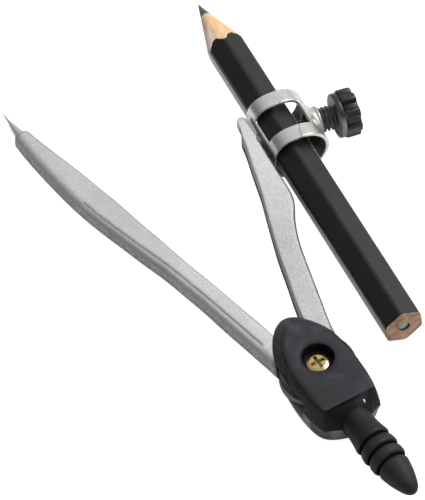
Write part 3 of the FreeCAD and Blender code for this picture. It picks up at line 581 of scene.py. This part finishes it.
# ---------------------------------------------------------------- pencil
def bare_wood_mask(m, along, radial):
    """1 on the sharpened cone and on the cut end, 0 where the paint stands."""
    radius = m.vmath("LENGTH", radial)
    cone_radius = m.mul(m.sub(PENCIL_LENGTH, along), math.tan(math.radians(CONE_HALF_ANGLE)))
    ragged = m.remap(m.noise(scale=1500, detail=3.0, rough=0.6), at=(0.25, 0.75),
                     to_mm=(0.04, 0.18))
    on_cone = m.remap(m.add(m.sub(radius, cone_radius), ragged), at_mm=(0.0, 0.03))
    # how far behind the apex the paint ends: it reaches further on the screw's side
    paint_end = m.remap(m.dot(radial, PENCIL_SIDE), at_mm=(0.0, 0.9), to_mm=(14.4, 12.55))
    paint_end = m.add(paint_end, m.mul(ragged, 1.6))
    ahead = m.remap(m.sub(m.sub(PENCIL_LENGTH, along), paint_end), at_mm=(-0.05, 0.05),
                    to=(1.0, 0.0))
    # on the cut end the paint is chipped back on the lower rim, away from the screw
    chipped_dir = (-PENCIL_SIDE * 0.55 - UP * 0.83).normalized()
    chip = m.mul(m.remap(m.dot(radial, chipped_dir), at_mm=(1.6, 3.8)),
                 m.remap(m.noise(scale=900, detail=3.0, rough=0.7), at=(0.42, 0.62),
                         to_mm=(0.0, 0.55)))
    on_end = m.remap(m.sub(along, m.add(chip, 0.04 * MM)), at_mm=(0.0, 0.05), to=(1.0, 0.0))
    return m.math("MAXIMUM", m.mul(on_cone, ahead), on_end)


def cedar(m, rel, along, radial):
    """Wood colour, its grain and its pores; streaks run along the pencil."""
    across, lengthwise = 1100.0, 90.0                # streaks per metre
    tan = [(0.28, (0.56, 0.34, 0.18)), (0.45, (0.66, 0.44, 0.245)), (0.72, (0.70, 0.50, 0.31))]
    pale = [(0.30, (0.55, 0.38, 0.30)), (0.46, (0.76, 0.62, 0.52)), (0.72, (0.84, 0.74, 0.67))]
    cut = [(0.32, (0.28, 0.14, 0.085)), (0.5, (0.50, 0.30, 0.20)), (0.68, (0.68, 0.48, 0.36))]
    stretched = m.combine(m.mul(m.dot(rel, PENCIL_SIDE), across),
                          m.mul(m.dot(rel, UP), across), m.mul(along, lengthwise))
    grain = m.noise(scale=1.0, vec=stretched)
    pores = m.noise(scale=2.6, vec=stretched)
    # the cone grows paler away from a line near its top
    tan_dir = (PENCIL_SIDE * 0.30 + UP * 0.954).normalized()
    turned = m.dot(m.vmath("NORMALIZE", radial), tan_dir)
    cone = m.mix(m.remap(turned, at=(0.80, 0.45), smooth=True),
                 m.ramp(grain, tan), m.ramp(grain, pale))
    end = m.ramp(m.noise(scale=620, detail=4.0, rough=0.65), cut)
    is_end = m.remap(along, at_mm=(1.2, 1.6), to=(1.0, 0.0))
    return m.mix(is_end, cone, end), grain, pores


def black_paint(m):
    """Black with faint clouds and a few specks of dust."""
    cloud = m.noise(scale=160, detail=3.0)
    paint = m.mix(m.remap(cloud), (0.0075, 0.0075, 0.008), (0.0115, 0.0115, 0.012))
    speck = m.remap(m.voronoi(scale=330), at=(0.0, 0.045), to=(1.0, 0.0))
    dust_and_dim_reflection = m.remap(m.noise(scale=75, detail=1.0), at=(0.58, 0.66))
    return m.mix(m.mul(speck, dust_and_dim_reflection, 0.5), paint, (0.35, 0.34, 0.32))


def pencil_paint():
    """Black gloss paint on the six faces, bare cedar on the cone and the cut end."""
    m = Material("pencil_paint_and_cedar")
    rel = m.offset(REAR)
    along = m.dot(rel, PENCIL_DIR)
    radial = m.vmath("SUBTRACT", rel, m.scaled(m.combine(*PENCIL_DIR), along))
    bare = bare_wood_mask(m, along, radial)
    wood, grain, pores = cedar(m, rel, along, radial)
    m.colour = m.mix(bare, black_paint(m), wood)
    paint_rough = m.remap(m.noise(scale=900, detail=3.0, rough=0.6), to=(0.27, 0.36))
    wood_rough = m.remap(pores, to=(0.62, 0.8))
    rough = m.mix(bare, paint_rough, wood_rough, kind="FLOAT")
    height = m.mix(bare, m.mul(m.noise(scale=520), 0.35), m.mul(grain, 0.22), kind="FLOAT")
    rippled = m.bump(height, strength=0.35, distance_mm=0.06, normal=m.soft(radius_mm=0.2))
    # the paint film stands a little above the wood
    stepped = m.bump(m.sub(1.0, bare), strength=0.6, distance_mm=0.05, normal=rippled)
    # painted reflection: where the lacquer is seen edge on, its colour turns white for the pale
    # surroundings it would mirror
    grazing_reflection = m.remap(m.facing(), at=(0.78, 0.86), to=(0.0, 0.95), smooth=True)
    m.tinted(m.mul(grazing_reflection, m.sub(1.0, bare)), grey(1.0))
    return m.set(base=m.colour, rough=rough, normal=stepped,
                 spec=m.remap(bare, at=UNIT, to=(0.75, 0.25)))


def graphite():
    """Dark lead, paler at the cut end as a painted shine."""
    m = Material("graphite")
    cloud = m.noise(scale=1800, detail=4.0, rough=0.65)
    at_cut = m.remap(m.dot(m.offset(REAR), PENCIL_DIR), at_mm=(1.0, 2.0), to=(1.0, 0.0))
    # painted shine: paler lead at the cut end
    wear_and_shine = m.mix(m.noise(scale=900), (0.30, 0.31, 0.32), (0.60, 0.61, 0.62))
    dark = m.mix(cloud, (0.065, 0.062, 0.066), (0.17, 0.165, 0.17))
    return m.set(base=m.mix(at_cut, dark, wear_and_shine), metal=0.35,
                 rough=m.remap(cloud, to=(0.32, 0.5)),
                 normal=m.bump(cloud, strength=0.35, distance_mm=0.04))


PENCIL = pencil_paint()
LEAD = graphite()

for node_name, look in (
        ("front_cover", HEAD), ("rear_cover", HEAD_REAR), ("grip_handle", GRIP),
        ("pivot_screw", SCREW), ("pivot_nut", NUT), ("friction_washer", WASHER),
        ("needle_leg", NEEDLE_LEG), ("needle_point", NEEDLE), ("pencil_leg", PENCIL_LEG),
        ("clamp_ring", CLAMP), ("clamp_rivet", RIVET), ("thumb_screw_stud", KNOB),
        ("thumb_screw_knob", KNOB), ("pencil_slat_lower", PENCIL),
        ("pencil_slat_upper", PENCIL), ("pencil_lead", LEAD)):
    slots = nodes[node_name].data.materials
    slots.clear()
    slots.append(look.material)


# ---------------------------------------------------------------- mesh helpers
def piece(name, verts, faces, looks, body, slot, place, replaced=(), index=None):
    """Smooth mesh from points in mm in the local frame `place`."""
    origin, *axes = place
    verts = (np.asarray(verts, float) @ np.array([tuple(a) for a in axes], float)) * MM
    verts = verts + np.array(origin)
    mesh = bpy.data.meshes.new(name)
    mesh.from_pydata([tuple(p) for p in verts], [], [tuple(int(i) for i in f) for f in faces])
    mesh.update()
    for look in looks:
        mesh.materials.append(look.material)
    if index is not None:
        mesh.polygons.foreach_set("material_index", index)
    mesh.polygons.foreach_set("use_smooth", [True] * len(mesh.polygons))
    obj = bpy.data.objects.new(name, mesh)
    bpy.context.scene.collection.objects.link(obj)
    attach(obj, body)
    if replaced:
        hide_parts(*replaced)


def ring(radius_at, height, count):
    """Points round the z axis; radius_at gives the radius at a fraction of a turn."""
    points = []
    for i in range(count):
        angle, radius = 2 * math.pi * i / count, radius_at(i / count)
        points.append((radius * math.cos(angle), radius * math.sin(angle), height))
    return points


def tube_grid(rings):
    """Closed surface from rings of equal length, first and last closed by a fan."""
    n = len(rings[0])
    verts = [p for r in rings for p in r]
    faces = []
    for k in range(len(rings) - 1):
        for i in range(n):
            j = (i + 1) % n
            faces.append((k * n + i, k * n + j, (k + 1) * n + j, (k + 1) * n + i))
    first_hub, last_hub = len(verts), len(verts) + 1
    verts += [tuple(np.mean(np.array(r), axis=0)) for r in (rings[0], rings[-1])]
    last = (len(rings) - 1) * n
    for i in range(n):
        j = (i + 1) % n
        faces += [(first_hub, j, i), (last_hub, last + i, last + j)]
    return verts, faces


def smoothstep(a, b, x):
    t = min(1.0, max(0.0, (x - a) / (b - a)))
    return t * t * (3 - 2 * t)


def smax(a, b, blend):
    h = np.maximum(blend - np.abs(a - b), 0) / blend
    return np.maximum(a, b) + h * h * blend * 0.25


def smin(a, b, blend):
    return -smax(-a, -b, blend)


def surface_nets(field, origin, step):
    """Quad surface of the zero level of a sampled distance field."""
    inside = field < 0
    nx, ny, nz = field.shape
    corners = [(a, b, c) for a in (0, 1) for b in (0, 1) for c in (0, 1)]
    count = np.zeros((nx - 1, ny - 1, nz - 1), np.int8)
    for a, b, c in corners:
        count += inside[a:nx - 1 + a, b:ny - 1 + b, c:nz - 1 + c]
    mixed = (count > 0) & (count < 8)
    number = np.full(mixed.shape, -1, np.int64)
    number[mixed] = np.arange(int(mixed.sum()))
    # one vertex per mixed cell, at the mean of the crossings on its edges
    cell = np.argwhere(mixed)
    total = np.zeros((len(cell), 3))
    crossings = np.zeros(len(cell))
    for p in corners:
        for axis in range(3):
            if p[axis]:
                continue
            q = list(p)
            q[axis] = 1
            fa = field[cell[:, 0] + p[0], cell[:, 1] + p[1], cell[:, 2] + p[2]]
            fb = field[cell[:, 0] + q[0], cell[:, 1] + q[1], cell[:, 2] + q[2]]
            cut = (fa < 0) != (fb < 0)
            total[cut] += np.array(p, float)
            total[cut, axis] += fa[cut] / (fa[cut] - fb[cut])
            crossings[cut] += 1
    verts = np.array(origin) + step * (cell + total / crossings[:, None])
    # one quad round each grid edge that crosses the surface
    quads = []
    for axis in range(3):
        o1, o2 = ((1, 2), (2, 0), (0, 1))[axis]
        near, far = [slice(1, -1)] * 3, [slice(1, -1)] * 3
        near[axis], far[axis] = slice(0, -1), slice(1, None)
        a, b = inside[tuple(near)], inside[tuple(far)]
        edges = np.argwhere(a != b)
        first_in = a[a != b]
        edges[:, o1] += 1
        edges[:, o2] += 1
        quad = []
        for d1, d2 in ((-1, -1), (0, -1), (0, 0), (-1, 0)):
            c = edges.copy()
            c[:, o1] += d1
            c[:, o2] += d2
            quad.append(number[c[:, 0], c[:, 1], c[:, 2]])
        quad = np.stack(quad, 1)
        quad[~first_in] = quad[~first_in][:, ::-1]
        quads.append(quad)
    return verts, np.concatenate(quads)


def relaxed(verts, quads, weights):
    """Move each vertex towards (or, below 0, away from) the mean of its neighbours."""
    edges = np.concatenate([quads[:, [i, (i + 1) % 4]] for i in range(4)])
    degree = np.zeros(len(verts))
    for a in (0, 1):
        np.add.at(degree, edges[:, a], 1)
    for weight in weights:
        total = np.zeros_like(verts)
        for a, b in ((0, 1), (1, 0)):
            np.add.at(total, edges[:, a], verts[edges[:, b]])
        verts = verts + weight * (total / degree[:, None] - verts)
    return verts


# ---------------------------------------------------------------- thumb screw
# height along the screw from the seat, radius
DOG_POINT = ((-4.05, 0.55), (-4.05, 0.9), (-3.99, 1.0), (-3.89, 1.05), (-3.35, 1.05),
             (-3.27, 1.1), (-3.25, 1.3))
THREAD_PITCH = 0.8
THREAD_START, THREAD_END = -3.25, 3.26
THREAD_RINGS = 123
CORE_RADIUS, CREST_HEIGHT = 1.92, 0.52


def thread_radius(turn, t):
    """Radius at a fraction of a turn and height t."""
    phase = (t / THREAD_PITCH - turn) % 1.0
    crest = 1.0 - smoothstep(0.14, 0.86, abs(phase - 0.5) * 2)
    lead_in = smoothstep(THREAD_START, -2.6, t)
    run_out = 1.0 - smoothstep(2.75, 3.1, t)
    root = CORE_RADIUS + 0.1 * smoothstep(2.9, THREAD_END, t) - 0.3 * (1 - lead_in)
    return root + CREST_HEIGHT * crest * run_out * (0.25 + 0.75 * lead_in)


def thumb_thread():
    """Moulded thread with a plain dog point, running out under the flange."""
    count = 96
    rings = [ring(lambda turn: radius, t, count) for t, radius in DOG_POINT]
    for k in range(THREAD_RINGS):
        t = THREAD_START + (THREAD_END - THREAD_START) * k / (THREAD_RINGS - 1)
        rings.append(ring(lambda turn: thread_radius(turn, t), t, count))
    piece("thumb_screw_thread", *tube_grid(rings), [KNOB], "knob", "knob_plastic",
          SCREW_FRAME, ("thumb_screw_stud",))


LOBES = 8
FLUTE_DEPTH = 0.62
# height along the screw from the seat, radius, share of the flute depth
HEAD_PROFILE = (
    (3.20, 1.6, 0), (3.20, 2.05, 0), (3.20, 2.6, 0), (3.19, 4.05, 0), (3.22, 4.22, 0),
    (3.29, 4.32, 0), (3.38, 4.35, 0), (4.14, 4.35, 0), (4.23, 4.32, 0), (4.29, 4.24, 0),
    (4.31, 4.14, 0.25), (4.33, 4.16, 0.7), (4.38, 4.36, 1), (4.46, 4.52, 1), (4.58, 4.62, 1),
    (4.74, 4.66, 1), (5.90, 4.67, 1), (6.97, 4.66, 1), (7.15, 4.61, 1), (7.28, 4.50, 1),
    (7.37, 4.32, 1), (7.40, 4.08, 0.9), (7.40, 3.75, 0.45), (7.39, 3.45, 0.1), (7.35, 3.3, 0),
    (7.21, 3.16, 0), (7.15, 2.95, 0), (7.13, 1.6, 0), (7.15, 0.95, 0), (7.23, 0.8, 0),
    (7.27, 0.6, 0), (7.28, 0.3, 0))


def flute(turn):
    """0 on a lobe, 1 in the hollow between two lobes."""
    wave = math.cos(LOBES * (2 * math.pi * turn - math.pi / LOBES))
    return smoothstep(0.22, 0.92, (1 + wave) / 2)


def thumb_head():
    """Flange disc and a fluted grip of rounded lobes."""
    rings = [ring(lambda turn: radius - share * FLUTE_DEPTH * flute(turn), t, LOBES * 28)
             for t, radius, share in HEAD_PROFILE]
    piece("thumb_screw_head", *tube_grid(rings), [KNOB], "knob", "knob_plastic",
          SCREW_FRAME, ("thumb_screw_knob",))


# ---------------------------------------------------------------- clamp sleeve
# In the pencil's frame. An outline is: centre x, reach to -x, reach to +x, half height,
# and the power of the superellipse on its -x half; the +x half has power 2.
SLEEVE_OUTER = (1.3, 5.75, 5.75, 5.4, 2.7)
SLEEVE_INNER = (1.2, 5.15, 5.1, 4.75, 3.0)
SLEEVE_HALF = 6.25                                   # half its length
SLEEVE_MIDDLE = PENCIL_MM - 31.3 - SLEEVE_HALF
WINDOW_HALF, WINDOW_CORNER = 3.05, 0.75
WINDOW_Y = (2.75, 4.05)                              # outline's |y| at a window's two ends
COLLAR_X, COLLAR_Z = 7.88, PENCIL_MM - 37.7
COLLAR_TILT = math.radians(6.2)
EYE_Z, EYE_RADIUS = PENCIL_MM - 37.5, 1.35
GRID_STEP = 0.085
INSIDE_DEPTH = 0.16                                  # skin near the bore that gets the darker inside metal


def superellipse(centre, reach_minus, reach_plus, half_height, power_minus, count=480):
    t = 2 * np.pi * np.arange(count) / count
    c, s = np.cos(t), np.sin(t)
    power = np.where(c > 0, 2.0, power_minus)
    reach = np.where(c > 0, reach_plus, reach_minus)
    return np.stack([centre + reach * np.sign(c) * np.abs(c) ** (2 / power),
                     half_height * np.sign(s) * np.abs(s) ** (2 / power)], 1)


def outline_distance(shape, x, y):
    """Signed distance to an outline and arc length at the nearest point, over the
    grid; then arc length at each corner, and the whole length."""
    corners = superellipse(*shape)
    grid_x, grid_y = np.meshgrid(x, y, indexing="ij")
    points = np.stack([grid_x.ravel(), grid_y.ravel()], 1)
    seg = np.roll(corners, -1, 0) - corners
    seg_len = np.hypot(seg[:, 0], seg[:, 1])
    run = np.concatenate([[0], np.cumsum(seg_len)])[:-1]
    best = np.full(len(points), 1e9)
    arc = np.zeros(len(points))
    for i in range(len(corners)):
        w = points - corners[i]
        t = np.clip((w @ seg[i]) / (seg_len[i] ** 2), 0, 1)
        d = np.hypot(w[:, 0] - t * seg[i, 0], w[:, 1] - t * seg[i, 1])
        nearer = d < best
        best[nearer] = d[nearer]
        arc[nearer] = run[i] + t[nearer] * seg_len[i]
    centre, reach_minus, reach_plus, half_height, power_minus = shape
    c = points[:, 0] - centre
    power = np.where(c > 0, 2.0, power_minus)
    level = ((np.abs(c) / np.where(c > 0, reach_plus, reach_minus)) ** power
             + (np.abs(points[:, 1]) / half_height) ** power - 1)
    signed = np.where(level < 0, -best, best).reshape(grid_x.shape)
    return signed, arc.reshape(grid_x.shape), run, run[-1] + seg_len[-1]


def window_field(z, arc, run, total):
    """Two rounded windows, mirrored about the middle of the -x flank."""
    half = 240                                       # corners on one half of the outline
    corner_y = np.abs(superellipse(*SLEEVE_OUTER)[half:, 1])
    corner_s = np.abs(run[half:] - total / 2)
    minus_x = corner_s < total / 4
    start, end = (corner_s[side][np.argmin(np.abs(corner_y[side] - at_y))]
                  for side, at_y in zip((minus_x, ~minus_x), WINDOW_Y))
    round_ = np.abs(np.abs(arc - total / 2) - (start + end) / 2)
    round_ = (round_ - ((end - start) / 2 - WINDOW_CORNER))[:, :, None]
    along = (np.abs(z - SLEEVE_MIDDLE) - (WINDOW_HALF - WINDOW_CORNER))[None, None, :]
    return (np.hypot(np.maximum(round_, 0), np.maximum(along, 0))
            + np.minimum(np.maximum(round_, along), 0) - WINDOW_CORNER)


def clamp_sleeve():
    """Pressed sleeve with two windows and a drawn, flared collar."""
    x = np.arange(-5.2, 9.5, GRID_STEP)
    y = np.arange(-6.2, 6.2, GRID_STEP)
    z = np.arange(43.7, 57.4, GRID_STEP)
    outer, arc, run, total = outline_distance(SLEEVE_OUTER, x, y)
    inner = outline_distance(SLEEVE_INNER, x, y)[0]
    wall = smax(outer, -inner, 0.12)
    ends = (np.abs(z - SLEEVE_MIDDLE) - SLEEVE_HALF)[None, None, :]
    sleeve = smax(smax(wall[:, :, None], ends, 0.16), -window_field(z, arc, run, total), 0.16)

    # collar: t runs outwards along its axis from the rim
    cos_tilt, sin_tilt = math.cos(COLLAR_TILT), math.sin(COLLAR_TILT)
    cx, cy, cz = np.meshgrid(x - COLLAR_X, y, z - COLLAR_Z, indexing="ij")
    t = cx * cos_tilt - cz * sin_tilt
    radius = np.hypot(cy, cz * cos_tilt + cx * sin_tilt)
    flare = 0.30 * np.clip(-t / 2.3, 0, 1) ** 1.6
    neck = smax(radius - (2.78 + flare), smax(t, -t - 2.1, 0.2), 0.2)
    lip = np.hypot(radius - 2.74, t + 0.26) - 0.27
    neck = smin(neck, lip, 0.25)
    solid = smin(sleeve, neck, 1.15)
    bore = smax(radius - 2.5 - 0.25 * np.clip(t + 0.25, 0, 1), np.abs(t + 2.0) - 2.6, 0.05)
    solid = smax(solid, -bore, 0.1)
    # nothing may grow into the sleeve's own bore
    solid = smax(solid, -smax(inner[:, :, None], ends - 1.0, 0.05), 0.08)
    # eye for the rivet in the flat -x flank
    eye = np.hypot(y[None, :, None], (z - EYE_Z)[None, None, :]) - EYE_RADIUS
    solid = smax(solid, -(eye + np.maximum(x + 3.0, 0)[:, None, None]), 0.06)

    verts, quads = surface_nets(solid, (x[0], y[0], z[0]), GRID_STEP)
    verts = relaxed(verts, quads, weights=(0.5, -0.52, 0.5, -0.52, 0.45))

    centre = verts[quads].mean(1)
    ix, iy = (np.clip(((centre[:, i] - grid[0]) / GRID_STEP).round().astype(int),
                      0, len(grid) - 1) for i, grid in enumerate((x, y)))
    near_bore = np.abs(inner[ix, iy]) < INSIDE_DEPTH
    from_axis = np.hypot(centre[:, 1], (centre[:, 2] - COLLAR_Z) * cos_tilt
                         + (centre[:, 0] - COLLAR_X) * sin_tilt)
    near_bore |= (centre[:, 0] > 5.5) & (from_axis < 2.6)
    piece("clamp_sleeve", verts, quads, [CLAMP, CLAMP_INSIDE], "pencil_arm", "clamp_metal",
          PENCIL_FRAME, ("clamp_ring",), index=near_bore.astype(np.int32))


# ---------------------------------------------------------------- gate mark
GATE_CENTRE = Vector((0.002537, -0.011463, 0.007577))          # metres
GATE_NORMAL = Vector((0.0616, -0.8074, 0.5867)).normalized()
GATE_HALF_WIDTH, GATE_HALF_HEIGHT = 0.24, 0.40
# height above the surface, share of the full outline
GATE_PROFILE = ((-0.12, 0.9), (-0.02, 1.0), (0.06, 0.93), (0.12, 0.72), (0.15, 0.4), (0.16, 0.1))
# painted highlight: the stub's pale base stands in for a glint
GATE = plastic("gate_mark_painted_glint", base=(0.42, 0.42, 0.40), rough=0.35, grain=0.2)


def gate_mark():
    """The small stub left by the moulding gate on the head's -Y end; its pale colour is a painted
    glint.
    """
    upward = (UP - GATE_NORMAL * UP.dot(GATE_NORMAL)).normalized()
    turns = [2 * math.pi * i / 28 for i in range(28)]
    rings = [[(GATE_HALF_WIDTH * share * math.cos(a), GATE_HALF_HEIGHT * share * math.sin(a), h)
              for a in turns] for h, share in GATE_PROFILE]
    piece("gate_mark", *tube_grid(rings), [GATE], "head", "head_plastic",
          (GATE_CENTRE, GATE_NORMAL.cross(upward), upward, GATE_NORMAL))


thumb_thread()
thumb_head()
clamp_sleeve()
gate_mark()


# ---------------------------------------------------------------- floor, light, camera
def floor():
    """White sheet: bright to the eye, greyer in what the object mirrors."""
    half, gap = 1.6, 0.00005                         # metres
    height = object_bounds()[0].z - gap
    mesh = bpy.data.meshes.new("floor")
    corners = ((-half, -half), (half, -half), (half, half), (-half, half))
    mesh.from_pydata([(x, y, height) for x, y in corners], [], [(0, 1, 2, 3)])
    obj = bpy.data.objects.new("floor", mesh)
    bpy.context.scene.collection.objects.link(obj)
    m = Material("floor_white")
    m.set(base=m.mix(m.noise(scale=6, detail=3.0), grey(0.30), grey(0.32)), rough=0.85, spec=0.1)
    m.bsdf.inputs["Emission Color"].default_value = (1, 1, 1, 1)
    m.bsdf.inputs["Emission Strength"].default_value = 0.96
    dim = m.node("ShaderNodeBsdfDiffuse")
    dim.inputs["Color"].default_value = (0.50, 0.50, 0.50, 1)
    choose = m.node("ShaderNodeMixShader")
    seen = m.node("ShaderNodeLightPath").outputs["Is Camera Ray"]
    for socket, source in zip(choose.inputs, (seen, dim.outputs[0], m.bsdf.outputs[0])):
        m.link(source, socket)
    m.link(choose.outputs[0], m.out.inputs["Surface"])
    mesh.materials.append(m.material)
    obj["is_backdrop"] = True


def area(name, place, size, energy):
    """Square area light, white, turned to the middle of the object."""
    target = Vector((0.006, 0.03, 0.004))
    data = bpy.data.lights.new(name, "AREA")
    data.shape = "RECTANGLE"
    data.size = data.size_y = size
    data.energy = energy
    data.color = (1, 1, 1)
    obj = bpy.data.objects.new(name, data)
    bpy.context.scene.collection.objects.link(obj)
    obj.location = place
    obj.rotation_mode = "QUATERNION"
    obj.rotation_quaternion = (target - Vector(place)).to_track_quat("-Z", "Y")
    return obj


def studio_world():
    """White surroundings, brightest towards one upper corner."""
    bright_dir = (0.60, 0.42, 0.68)
    world = bpy.data.worlds.new("studio")
    bpy.context.scene.world = world
    world.use_nodes = True
    w = Tree(world.node_tree)
    out = w.node("ShaderNodeOutputWorld")
    background = w.node("ShaderNodeBackground")
    w.link(background.outputs[0], out.inputs[0])
    strength = w.remap(w.dot(w.coords.outputs["Generated"], bright_dir),
                       at=(0.10, 1.0), to=(0.08, 0.46), smooth=True)
    w.link(strength, background.inputs["Strength"])
    background.inputs["Color"].default_value = (1, 1, 1, 1)


def camera():
    """Long lens looking down at the object from the -X, -Y side."""
    azimuth, elevation, roll = (math.radians(d) for d in (-27.55, 52.17, -3.3))
    aim, distance = Vector((-2.25, 33.51, 4.7)) * MM, 0.54117
    back = Vector((math.sin(azimuth) * math.cos(elevation),
                   -math.cos(azimuth) * math.cos(elevation), math.sin(elevation)))
    level = Vector((math.cos(azimuth), math.sin(azimuth), 0))
    steep = back.cross(level)
    right = level * math.cos(roll) + steep * math.sin(roll)
    up = -level * math.sin(roll) + steep * math.cos(roll)
    data = bpy.data.cameras.new("camera")
    data.lens = 211.68
    data.sensor_width = 36.0
    data.clip_start, data.clip_end = 0.01, 20
    obj = bpy.data.objects.new("camera", data)
    bpy.context.scene.collection.objects.link(obj)
    pose = Matrix((right, up, back)).transposed().to_4x4()
    pose.translation = aim + back * distance
    obj.matrix_world = pose
    bpy.context.scene.camera = obj


floor()
area("key_right", place=(0.42, 0.05, 0.45), size=0.35, energy=1.4)
fill = area("fill_top", place=(0.13, -0.06, 0.56), size=0.6, energy=4.6)
fill.visible_glossy = False
studio_world()
camera()
view = bpy.context.scene.view_settings
view.view_transform = "Standard"
view.look = "None"
view.exposure = 0.0

bpy.context.view_layer.update()
